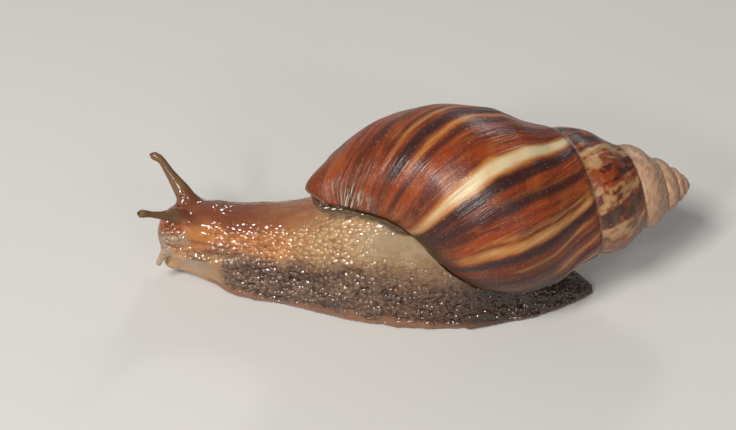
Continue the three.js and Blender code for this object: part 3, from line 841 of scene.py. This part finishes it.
def skin_regions(points):
    """Where each kind of skin lies, as shares between 0 and 1."""
    x = points[:, 0]
    place = body_place(points)
    ragged = place + 0.035 * noise(points, 4.0, 41) + 0.02 * noise(points, 1.7, 42)
    r = SimpleNamespace(place=place, level=head_level(points), **feeler_regions(points))
    away, _ = reach_to(points, collar_line())
    r.collar = ramp(COLLAR_RADIUS[0] + 0.6, COLLAR_RADIUS[0] - 0.1, away)
    lips = np.full(len(points), 9.0)
    for side in (-1, 1):
        offset = (points - LIP_CENTRE - [0, side * LIP_SPREAD, 0]) / LIP_SIZE
        lips = np.minimum(lips, length(offset))
    r.lips = ramp(1.35, 0.95, lips) * (1 - r.feeler)
    r.margin = ramp(0.93, 0.965, ragged) * ramp(-41, -36, x)
    front_edge = x + 5 * noise(points, 2.4, 43) + 6 * (place - 0.7)
    r.foot = ramp(0.46, 0.58, ragged) * ramp(-38, -31, front_edge)
    r.front = ramp(0.50, 0.58, ragged) * ramp(-33, -36.5, x)
    r.dorsal = ramp(0.33, 0.12, ragged) * ramp(-4, -14, x)
    r.face = ramp(-42, -45, x) * (1 - r.feeler)
    r.cheek = ramp(-41, -43.5, x) * bump(r.level, 9.6, 3.6)
    r.smooth = bump(place, 0.37, 0.17) * ramp(-6, 4, x) * ramp(27, 18, x)
    r.bare = ramp(-44, -42.5, x) * ramp(-35.5, -37.5, x)
    r.bare *= ramp(0.50, 0.42, place)
    r.cluster = ramp(3.2, 2, length(points - ROOT_CLUSTER))
    r.tail = ramp(14, 28, x)
    return r


def grain_share(r):
    """How boldly the grain stands, from 0 on bare skin to 1."""
    bold = 1 - 0.95 * r.margin
    bold *= 1 - 0.85 * r.smooth
    bold *= 1 - 0.75 * r.dorsal
    bold *= 1 - 0.8 * r.front * ramp(0.56, 0.66, r.place)
    bold *= 1 - 0.5 * r.collar
    bold *= 1 - 0.5 * r.lips
    bold *= 1 - 0.8 * r.feeler * (1 - r.lower)
    bold = np.maximum(bold, np.maximum(r.cluster, r.cheek))
    bold *= 1 - 0.95 * r.bare
    return bold * (1 - 0.25 * r.tail)


def skin_folds(x, place):
    """Fine folds that run along the neck."""
    folds = noise((x * 0.16 + 3 * place, place * 34), 1.0, 53)
    return folds + 0.5 * noise((x * 0.3 + 3 * place, place * 60), 1.0, 55)


def skin_relief(points, r, bold, folds):
    """Height of the grains, folds and swellings over the skin, in millimetres."""
    x = points[:, 0]
    coarse_gap = COARSE_GAP + 0.35 * ramp(0.5, 0.75, r.place)
    coarse = tubercles(points * [0.85, 1, 1], coarse_gap, 51)
    fine_gap = FINE_GAP - 0.1 * r.face + 0.15 * ramp(-25, -10, x)
    slanted = points + np.stack([0 * x, 0 * x, -0.16 * x], axis=1)
    fine = tubercles(slanted * [0.6, 1, 1.1], fine_gap, 52)
    height = r.foot * coarse + (1 - r.foot) * fine
    relief = (NECK_GRAIN_HEIGHT + FOOT_GRAIN_MORE * r.foot) * height * bold
    relief += FOLD_HEIGHT * folds * (1 - r.foot) * ramp(-43, -37, x) * (1 - r.feeler)
    swell = 0.24 * noise(points, 3.6, 54) * (0.3 + 0.7 * r.foot)
    swell += 0.34 * noise(points, 2.1, 56) * r.foot
    relief += swell * (1 - r.margin) * (1 - r.collar)
    return relief * ramp(0.2, 1.6, points[:, 2])


def parting(x):
    """Place round the body of the groove that parts head and neck from the foot."""
    return 0.54 - 0.004 * (x + 38)


def head_forms(x, side, z, r):
    """Mouth, hollow and cheek of the head, in millimetres outward."""
    cleft = np.exp(-(side / 0.55) ** 2) * ramp(2, 3.4, z) * ramp(9, 6.4, z)
    move = -1.5 * cleft * ramp(-44.5, -46.5, x)
    crease = np.exp(-((z - 8.3 + 0.10 * side ** 2) / 0.6) ** 2) * ramp(4.6, 3, np.abs(side))
    move -= 0.55 * crease * ramp(-45, -47, x)
    # Hollow under the long feeler, and the granular cheek below it.
    hollow = bump(x, -46.0, 5.0) * bump(r.level, 13.6, 2.6)
    cheek = bump(x, -45.6, 4.4) * bump(r.level, 9.6, 3.2) * ramp(0.8, 2.6, np.abs(side))
    return move + (0.95 * cheek - 0.40 * hollow) * (1 - r.feeler)


def foot_forms(x, side, r):
    """Swollen edge and wavy margin of the foot, with the grooves over them."""
    run = ramp(-46, -42, x) * ramp(-27, -33, x) * (1 - r.feeler)
    below = r.place - parting(x)
    move = -0.5 * np.exp(-(below / 0.03) ** 2) * run
    move += 0.35 * np.exp(-((below - 0.09) / 0.045) ** 2) * run
    margin = ramp(0.84, 0.97, r.place) * ramp(-40, -30, x) * ramp(53, 46, x)
    wave = noise((x, np.sign(side) * 40), 3.4, 61)
    wave += 0.6 * noise((x, np.sign(side) * 40), 1.7, 62)
    move += (0.50 * wave - 0.15) * margin
    above = np.exp(-((r.place - 0.915) / 0.022) ** 2) * ramp(-38, -30, x)
    return move - 0.38 * above * ramp(50, 40, x)


def sculpted(points, normals, r):
    """The larger forms of head and foot, moved into the plain skin."""
    x = points[:, 0]
    side = points[:, 1] - LIP_CENTRE[1]
    move = head_forms(x, side, points[:, 2], r) + foot_forms(x, side, r)
    return points + normals * move[:, None]


def softened(mesh, points):
    """Points eased all over, and most where feelers and lips join the head."""
    edges = read(mesh.edges, "vertices", 2, np.int64)
    r = skin_regions(points)
    blend = 0.6 * r.root * (1 - 0.9 * ramp(0.35, 0.6, r.feeler_share))
    blend = np.maximum(blend, 0.5 * r.lips * ramp(-47.5, -45, points[:, 0]))
    points = relaxed(points, edges, ROOT_PASSES, blend, keep_volume=False)
    return relaxed(points, edges, SKIN_PASSES, 0.5)


def shape_skin(mesh):
    """Soften, sculpt and roughen the skin, and mark its regions for the material."""
    points = mesh_points(mesh)
    ground = points[:, 2] < 0.2
    points = softened(mesh, points)
    set_points(mesh, points)
    r = skin_regions(points)
    normals = mesh_normals(mesh)
    inset = SKIN_INSET * (1 - 0.85 * r.feeler) * ramp(0, 1.4, points[:, 2])
    points = sculpted(points - normals * inset[:, None], normals, r)
    set_points(mesh, points)
    r = skin_regions(points)
    bold = grain_share(r)
    folds = skin_folds(points[:, 0], r.place)
    relief = skin_relief(points, r, bold, folds)
    points = clear_of_shell(points + mesh_normals(mesh) * relief[:, None])
    points[ground, 2] = 0.0
    points[:, 2] = np.maximum(points[:, 2], 0.0)
    set_points(mesh, points)
    mesh.shade_smooth()
    store(mesh, "tone", "POINT", skin_tone(points, r, folds), "FLOAT_COLOR", "color")
    store(mesh, "rough", "POINT", bold)
    store(mesh, "foot", "POINT", r.foot)
    store(mesh, "wet", "POINT", 1 - 0.75 * r.feeler * (1 - r.lower) * (1 - r.cluster))


def clear_of_shell(points):
    """Points held back where they would come through the shell."""
    mesh = shell.data
    tree = BVHTree.FromPolygons(
        [v.co[:] for v in mesh.vertices], [f.vertices[:] for f in mesh.polygons])
    corners = mesh_points(mesh)
    near = np.all((points > corners.min(axis=0) - 1.0) & (points < corners.max(axis=0) + 1.0), axis=1)
    for i in np.nonzero(near)[0]:
        place = Vector(to_frame(points[i]))
        hit, normal, _, _ = tree.find_nearest(place, SHELL_NEAR * MM)
        if hit is not None and (place - hit).dot(normal) < RELIEF_GAP * MM:
            points[i] = np.array(hit + normal * RELIEF_GAP * MM) / MM + ORIGIN
    return points


# Colours of the skin, linear red, green and blue.
TONES = {
    "side": (0.38, 0.145, 0.040),
    "dorsal": (0.165, 0.046, 0.019),
    "crest": (0.215, 0.078, 0.030),
    "yellow": (0.37, 0.22, 0.095),
    "smooth": (0.31, 0.22, 0.125),
    "dusk": (0.21, 0.115, 0.055),
    "shade": (0.115, 0.040, 0.024),
    "foot": (0.135, 0.075, 0.042),
    "plum": (0.072, 0.028, 0.016),
    "umber": (0.085, 0.034, 0.010),
    "margin": (0.19, 0.080, 0.038),
    "red": (0.27, 0.062, 0.014),
    "grain": (0.30, 0.185, 0.112),
    # Crease: painted shade, dark red-brown, in the crease under each upper feeler's root.
    "crease": (0.19, 0.050, 0.014),
    "front": (0.32, 0.175, 0.080),
    # Tail: its dark brown darkened further as painted shade.
    "tail": (0.030, 0.011, 0.003),
    "feeler": (0.145, 0.080, 0.040),
    "lower": (0.33, 0.235, 0.155),
    # Collar: its own dark brown, darkened further as painted shade under the shell's lip.
    "collar": (0.075, 0.038, 0.015),
    "lips": (0.42, 0.235, 0.105),
    "pale": (0.34, 0.235, 0.14),
}


def skin_tone(points, r, folds):
    """Red, green, blue and a full alpha of each point, one tone laid over the last."""
    x = points[:, 0]
    place = r.place
    wander = 0.03 * noise(points, 3.0, 71) + 0.02 * noise(points, 1.3, 75)
    tone = np.tile(TONES["side"], (len(points), 1))

    def lay(name, share):
        nonlocal tone
        share = np.clip(share, 0, 1)[:, None]
        tone = tone * (1 - share) + np.array(TONES[name]) * share

    lay("yellow", ramp(-24, -10, x))
    lay("smooth", r.smooth * 1.2)
    lines = ramp(0.25, 0.9, folds + 0.4) * (1 - r.smooth)
    lay("shade", lines * bump(place, 0.46, 0.15) * ramp(-8, -22, x) * 0.8)
    lay("shade", bump(place, parting(x) - 0.03, 0.09) * bump(x, -35, 8) * 0.9)
    lay("crest", r.dorsal * (0.75 + 0.25 * ramp(-0.5, 0.6, folds)))
    lay("dorsal", r.dorsal * ramp(-18, -32, x + 3 * folds))
    lay("dusk", ramp(0.40, 0.54, place + wander) * ramp(-38, -33, x))
    lay("dusk", ramp(0.36, 0.50, place + 2 * wander) * ramp(-2, 14, x) * 0.8)
    lay("foot", r.foot * ramp(0.50, 0.64, place + 1.5 * wander))
    lay("plum", r.foot * ramp(-0.1, 0.6, noise(points, 4.5, 72)) * 0.7)
    lay("umber", r.foot * ramp(-5, 15, x) * 0.75)
    lay("front", r.front)
    low = ramp(0.56, 0.66, place)
    lay("pale", r.front * low * bump(x, -42.5, 5.5) * ramp(0.98, 0.86, place))
    # Painted shade over the tail's dark brown.
    lay("tail", r.tail * ramp(0, 0.35, place + 2 * wander + 0.25 * r.tail))
    lay("margin", r.margin * (1 - 0.8 * r.tail))
    lay("dorsal", r.face * ramp(15.5, 18.5, r.level) * 0.9)
    lay("red", r.face * bump(r.level, 13.2, 3.6) * 1.3)
    # Painted shade in the crease under each upper feeler's root.
    lay("crease", bump(r.level, 14.2, 1.6) * bump(x, -42.5, 4.5))
    lay("grain", r.cheek * 1.2)
    lay("plum", bump(place, parting(x) + 0.04, 0.05) * bump(x, -40, 4.5) * 0.8)
    lay("lips", np.maximum(r.lips, r.face * ramp(6.5, 4.5, r.level)))
    # The collar's own dark brown, darkened further as painted shade under the shell's lip.
    lay("collar", r.collar)
    lay("dorsal", r.root * ramp(14, 17, r.level) * 0.8)
    lay("feeler", r.feeler * ramp(0.12, 0.45, r.feeler_share) * (1 - r.lower))
    lay("lower", r.lower)
    mottle = 1 + 0.10 * noise(points, 5.0, 73) + 0.07 * noise(points, 1.6, 74)
    tone = np.clip(tone * mottle[:, None], 0, 1)
    return np.hstack([tone, np.ones((len(tone), 1))])


shape_skin(skin.data)
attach(skin, "root")
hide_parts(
    "mantle_collar", "head", "neck", "trunk", "foot_front", "foot_middle", "tail",
    "upper_tentacle_right_root", "upper_tentacle_right_stalk", "upper_tentacle_left_root",
    "upper_tentacle_left_stalk", "lower_tentacle_right", "lower_tentacle_left",
    "lip_left", "lip_right")

# ---- eyes ----
EYE_SIZE = 0.49


def make_eye(node):
    low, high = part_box(node)
    centre = (np.array(low) + np.array(high)) / 2 / MM + ORIGIN
    points, faces = ball(centre, EYE_SIZE, 28, 40)
    eye = make_mesh(node + "_ball", points, faces)
    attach(eye, "root")
    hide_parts(node)
    return eye


eyes = [make_eye(node) for node in ("eye_right", "eye_left")]

# ---- materials ----


# Numbers of the Mix node's sockets for colours.
MIX_FIRST = 6
MIX_SECOND = 7
MIX_RESULT = 2


class Shading:
    """A material's nodes, added by short calls that return their sockets."""

    def __init__(self, name):
        self.material = bpy.data.materials.new(name)
        self.material.use_nodes = True
        self.tree = self.material.node_tree
        self.shader = self.tree.nodes["Principled BSDF"]

    def put(self, node, name, value):
        socket = node.inputs[name]
        if isinstance(value, bpy.types.NodeSocket):
            self.tree.links.new(value, socket)
        else:
            socket.default_value = value

    def set(self, **values):
        for name, value in values.items():
            self.put(self.shader, name.replace("_", " "), value)

    def node(self, kind, result, inputs, **settings):
        """Add a node and return its result; inputs go by name or by number."""
        node = self.tree.nodes.new("ShaderNode" + kind)
        for name, value in settings.items():
            setattr(node, name, value)
        for name, value in inputs.items():
            self.put(node, name, value)
        return node.outputs[result]

    def field(self, name, result="Fac"):
        return self.node("Attribute", result, {}, attribute_name=name)

    def position(self):
        return self.node("TexCoord", "Object", {})

    def math(self, operation, *values):
        return self.node("Math", "Value", dict(enumerate(values)), operation=operation)

    def times(self, first, second):
        return self.math("MULTIPLY", first, second)

    def plus(self, first, second):
        return self.math("ADD", first, second)

    def line(self, value, slope, rise):
        """The value times the slope, plus the rise."""
        return self.math("MULTIPLY_ADD", value, slope, rise)

    def step(self, low, high, value):
        inputs = {"Value": value, "From Min": low, "From Max": high}
        return self.node("MapRange", "Result", inputs, interpolation_type="SMOOTHSTEP")

    def mix(self, share, first, second, blend="MIX"):
        """Two colours mixed; each is a socket or red, green and blue."""
        first, second = ((*c, 1.0) if isinstance(c, tuple) else c for c in (first, second))
        inputs = {0: share, MIX_FIRST: first, MIX_SECOND: second}
        return self.node("Mix", MIX_RESULT, inputs, data_type="RGBA", blend_type=blend)

    def over(self, base, colour, share, strength):
        """A colour laid over a base as far as its share, at the most by its strength."""
        return self.mix(self.times(share, strength), base, colour)

    def blend(self, share, first, second):
        return self.node("Mix", "Result", {"Factor": share, "A": first, "B": second})

    def vector(self, x, y):
        return self.node("CombineXYZ", "Vector", {"X": x, "Y": y})

    def noise(self, vector, scale, detail=3.0, rough=0.5):
        inputs = {"Vector": vector, "Scale": scale, "Detail": detail, "Roughness": rough}
        return self.node("TexNoise", "Fac", inputs)

    def bumped(self, height, distance, **inputs):
        return self.node("Bump", "Normal", {"Height": height, "Distance": distance, **inputs})


CHESTNUT = (0.215, 0.034, 0.006)
CHESTNUT_DEEP = (0.080, 0.014, 0.006)
AMBER = (0.31, 0.080, 0.013)
CREAM = (0.56, 0.455, 0.27)
CREAM_DEEP = (0.50, 0.30, 0.12)
CREAM_WARM = (0.40, 0.165, 0.038)
DARK = (0.026, 0.009, 0.008)
# Olive for the painted shade on the rim and underside.
PAINTED_SHADE_OLIVE = (0.040, 0.011, 0.002)
TAN = (0.27, 0.155, 0.07)
WORN = (0.40, 0.245, 0.15)
WORN_DARK = (0.29, 0.165, 0.10)
FLAKE = (0.46, 0.39, 0.31)
LIP_TONE = (0.26, 0.11, 0.04)
INSIDE = (0.45, 0.40, 0.36)
THREADS = 0.00032  # metres from hollow to crest of the growth threads
PITS = 0.00006


def shell_ground(s, along, down, fine):
    """Chestnut of the shell with its cream, tan and dark streaks."""
    broad = s.noise(s.vector(along, s.times(down, 0.10)), 0.30, 3.0, 0.55)
    cloud = s.noise(s.vector(along, down), 0.13)
    ragged = s.line(fine, 0.45, -0.22)
    cream_mark = s.field("cream")
    torn_cream = s.plus(cream_mark, ragged)
    base = s.mix(s.step(0.35, 0.66, broad), CHESTNUT, CHESTNUT_DEEP)
    base = s.over(base, CREAM_WARM, s.step(0.52, 0.78, fine), 0.55)
    base = s.over(base, AMBER, s.step(0.50, 0.72, cloud), 0.55)
    base = s.over(base, CHESTNUT_DEEP, s.step(0.48, 0.30, cloud), 0.55)
    base = s.over(base, CREAM_WARM, s.step(0.08, 0.50, torn_cream), 0.85)
    cream = s.over(CREAM, CREAM_DEEP, s.step(0.4, 0.8, cloud), 0.7)
    base = s.mix(s.step(0.36, 0.90, torn_cream), base, cream)
    tan = s.times(s.field("spire"), s.step(0.0, 0.3, cream_mark))
    base = s.over(base, TAN, tan, 0.6)
    base = s.over(base, DARK, s.step(0.18, 0.80, s.plus(s.field("dark"), ragged)), 0.92)
    # Painted shade in olive over the rim and underside.
    return s.over(base, PAINTED_SHADE_OLIVE, s.step(0.25, 1.0, s.plus(s.field("rim"), ragged)), 0.85)


def shell_wear(s, along, down, base, scuff, flake):
    """Worn spire, painted shade and pale scuffs along the seam, pale flakes and specks, lip and
    inside.
    """
    blotch = s.noise(s.vector(along, down), 0.55, 4.0, 0.6)
    pale = s.mix(s.step(0.42, 0.62, blotch), WORN, WORN_DARK)
    seam = s.field("seam")
    speck = s.noise(s.vector(along, down), 1.3, 4.0, 0.75)
    base = s.over(base, pale, s.field("worn"), 0.93)
    # Painted shade along the seam between whorls.
    base = s.over(base, DARK, seam, 0.6)
    base = s.over(base, WORN, s.times(seam, s.step(0.35, 0.6, scuff)), 0.55)
    base = s.over(base, FLAKE, flake, 0.85)
    base = s.over(base, WORN, s.step(0.60, 0.67, speck), 0.5)
    base = s.over(base, LIP_TONE, s.field("lip"), 0.75)
    return s.mix(s.field("inside"), base, INSIDE)


def shell_surface(s, along, down, flake):
    """Normal over the growth threads, the flakes' edges and fine pits."""
    lines = s.noise(s.vector(along, s.times(down, 0.03)), 1.5, 3.0, 0.65)
    thread = s.noise(s.vector(s.times(along, 0.25), down), 1.1, 2.0)
    height = s.line(flake, 0.8, s.line(thread, 0.22, lines))
    pits = s.noise(s.vector(along, down), 2.6, 3.0, 0.6)
    return s.bumped(pits, PITS, Strength=0.7, Normal=s.bumped(height, THREADS, Strength=0.8))


def shell_material():
    s = Shading("shell_glaze")
    along = s.field("along")
    down = s.field("down")
    fine = s.noise(s.vector(along, s.times(down, 0.06)), 1.9, 4.0, 0.6)
    scuff = s.noise(s.vector(along, s.times(down, 0.35)), 1.1, 5.0, 0.7)
    flake = s.times(s.step(0.46, 0.60, scuff), s.field("flakes"))
    base = shell_ground(s, along, down, fine)
    s.set(Base_Color=shell_wear(s, along, down, base, scuff, flake))
    rough = s.line(s.field("worn"), 0.25, s.line(fine, 0.20, 0.34))
    s.set(Roughness=s.line(flake, 0.10, rough))
    normal = shell_surface(s, along, down, flake)
    s.set(Normal=normal, Coat_Normal=normal, Specular_IOR_Level=0.0)
    s.set(Coat_Weight=0.8, Coat_Roughness=0.27, Coat_IOR=1.46)
    return s.material


# Grains of the skin: how they are drawn out along each axis, how many lie in a metre
# across, and how high each one's dome stands, in millimetres.
NECK_GRAIN = ((0.72, 1.0, 1.0), 960.0, 0.28)
FOOT_GRAIN = ((0.9, 1.0, 1.0), 980.0, 0.27)
GRAIN_REACH = 0.6  # from a grain's middle to its crease, in cells
# Tints of the painted shade in the creases between grains and the painted light on their tops.
PAINTED_CREASE_SHADE = (0.54, 0.44, 0.40)
PAINTED_GRAIN_LIGHT = (1.16, 1.15, 1.12)
EYE_DARK = (0.010, 0.006, 0.005)
EYE_LIGHT = (0.035, 0.022, 0.016)
FLOOR_DARK = (0.52, 0.51, 0.49)
FLOOR_LIGHT = (0.55, 0.54, 0.52)


def grain_field(s, place, grain):
    """How far each point lies from its grain's middle, in cells, and the dome's height."""
    stretch, scale, height = grain
    lying = s.node("VectorMath", "Vector", {0: place, 1: stretch}, operation="MULTIPLY")
    inputs = {"Vector": lying, "Scale": scale, "Randomness": 0.85}
    reach = s.node("TexVoronoi", "Distance", inputs, feature="F1")
    fall = s.times(s.times(reach, reach), -height / GRAIN_REACH ** 2)
    return reach, s.plus(fall, height)


def skin_material():
    s = Shading("wet_skin")
    place = s.position()
    tone = s.field("tone", "Color")
    rough = s.field("rough")
    foot = s.field("foot")
    neck_reach, neck_dome = grain_field(s, place, NECK_GRAIN)
    foot_reach, foot_dome = grain_field(s, place, FOOT_GRAIN)
    raised = s.step(0.66, 0.30, s.blend(foot, neck_reach, foot_reach))
    dome = s.blend(foot, neck_dome, foot_dome)
    # Painted shade darkens the creases between grains and painted light brightens their tops.
    deep = s.mix(1.0, tone, PAINTED_CREASE_SHADE, "MULTIPLY")
    light = s.mix(1.0, tone, PAINTED_GRAIN_LIGHT, "MULTIPLY")
    base = s.mix(s.times(rough, s.line(foot, 0.50, 0.35)), tone, s.mix(raised, deep, light))
    mottle = s.noise(place, 420.0, 4.0, 0.6)
    s.set(Base_Color=s.over(base, deep, s.step(0.5, 0.7, mottle), 0.25))
    patchy = s.line(s.step(0.35, 0.60, mottle), 0.5, 0.6)
    ripple = s.noise(place, 600.0, 2.0)
    height = s.line(ripple, 0.03, s.times(s.times(dome, rough), patchy))
    normal = s.bumped(height, MM)
    s.set(Normal=normal, Coat_Normal=normal, Roughness=0.42, Specular_IOR_Level=0.0)
    s.set(Coat_Weight=s.field("wet"), Coat_Roughness=0.10, Coat_IOR=1.70)
    s.set(Subsurface_Weight=0.12, Subsurface_Scale=0.0015, Subsurface_Radius=(1.0, 0.45, 0.25))
    return s.material


def eye_material():
    s = Shading("eye_gloss")
    cloud = s.noise(s.position(), 2500.0, 2.0)
    s.set(Base_Color=s.mix(cloud, EYE_DARK, EYE_LIGHT), Roughness=s.line(cloud, 0.08, 0.08))
    s.set(Coat_Weight=1.0, Coat_Roughness=0.04)
    return s.material


def floor_material():
    s = Shading("pale_floor")
    cloud = s.noise(s.position(), 8.0)
    s.set(Base_Color=s.mix(cloud, FLOOR_DARK, FLOOR_LIGHT), Roughness=0.85)
    return s.material


def dress(piece, material):
    piece.data.materials.clear()
    piece.data.materials.append(material)


dress(shell, shell_material())
dress(skin, skin_material())
eye_paint = eye_material()
for eye in eyes:
    dress(eye, eye_paint)

# ---- floor and light ----
FLOOR_HALF = 3.0
LIT_PLACE = (0.0, 0.0, 0.02)
DAYLIGHT = (1.0, 0.98, 0.96)
# Square soft lights: direction they stand in, distance and width in metres, watts, colour.
LIGHTS = {
    "key": ((-0.36, -0.52, 0.78), 0.9, 0.22, 7.6, (1.0, 0.97, 0.93)),
    "glint_left": ((-0.50, -0.85, 0.62), 0.9, 0.10, 1.7, DAYLIGHT),
    "glint_right": ((0.45, -0.85, 0.50), 0.9, 0.12, 0.8, DAYLIGHT),
    "glint_side": ((-0.92, -0.30, 0.32), 0.9, 0.10, 1.0, DAYLIGHT),
    "glint_back": ((0.25, 0.85, 0.60), 0.9, 0.12, 1.4, DAYLIGHT),
    "fill": ((0.5, -1.0, 0.6), 1.4, 1.4, 0.6, (1.0, 0.99, 0.97)),
    "back": ((-0.4, 1.0, 0.7), 1.4, 1.4, 1.0, (1.0, 0.98, 0.95)),
}
STUDIO_COLOUR = (0.95, 0.97, 1.0, 1.0)
STUDIO_LIGHT = 0.18


def make_floor():
    corners = [(-1, -1, 0), (1, -1, 0), (1, 1, 0), (-1, 1, 0)]
    mesh = bpy.data.meshes.new("floor")
    mesh.from_pydata([Vector(corner) * FLOOR_HALF for corner in corners], [], [(0, 1, 2, 3)])
    floor = linked("floor", mesh)
    dress(floor, floor_material())


def make_light():
    for name, (direction, distance, size, power, colour) in LIGHTS.items():
        data = bpy.data.lights.new(name, "AREA")
        data.size = size
        data.energy = power
        data.color = colour
        light = linked(name, data)
        way = Vector(direction).normalized()
        light.location = Vector(LIT_PLACE) + way * distance
        light.rotation_euler = way.to_track_quat("Z", "Y").to_euler()
    world = bpy.data.worlds.new("studio")
    world.use_nodes = True
    shade = world.node_tree.nodes["Background"]
    shade.inputs["Color"].default_value = STUDIO_COLOUR
    shade.inputs["Strength"].default_value = STUDIO_LIGHT
    bpy.context.scene.world = world
    bpy.context.scene.view_settings.view_transform = "Standard"


make_floor()
make_light()
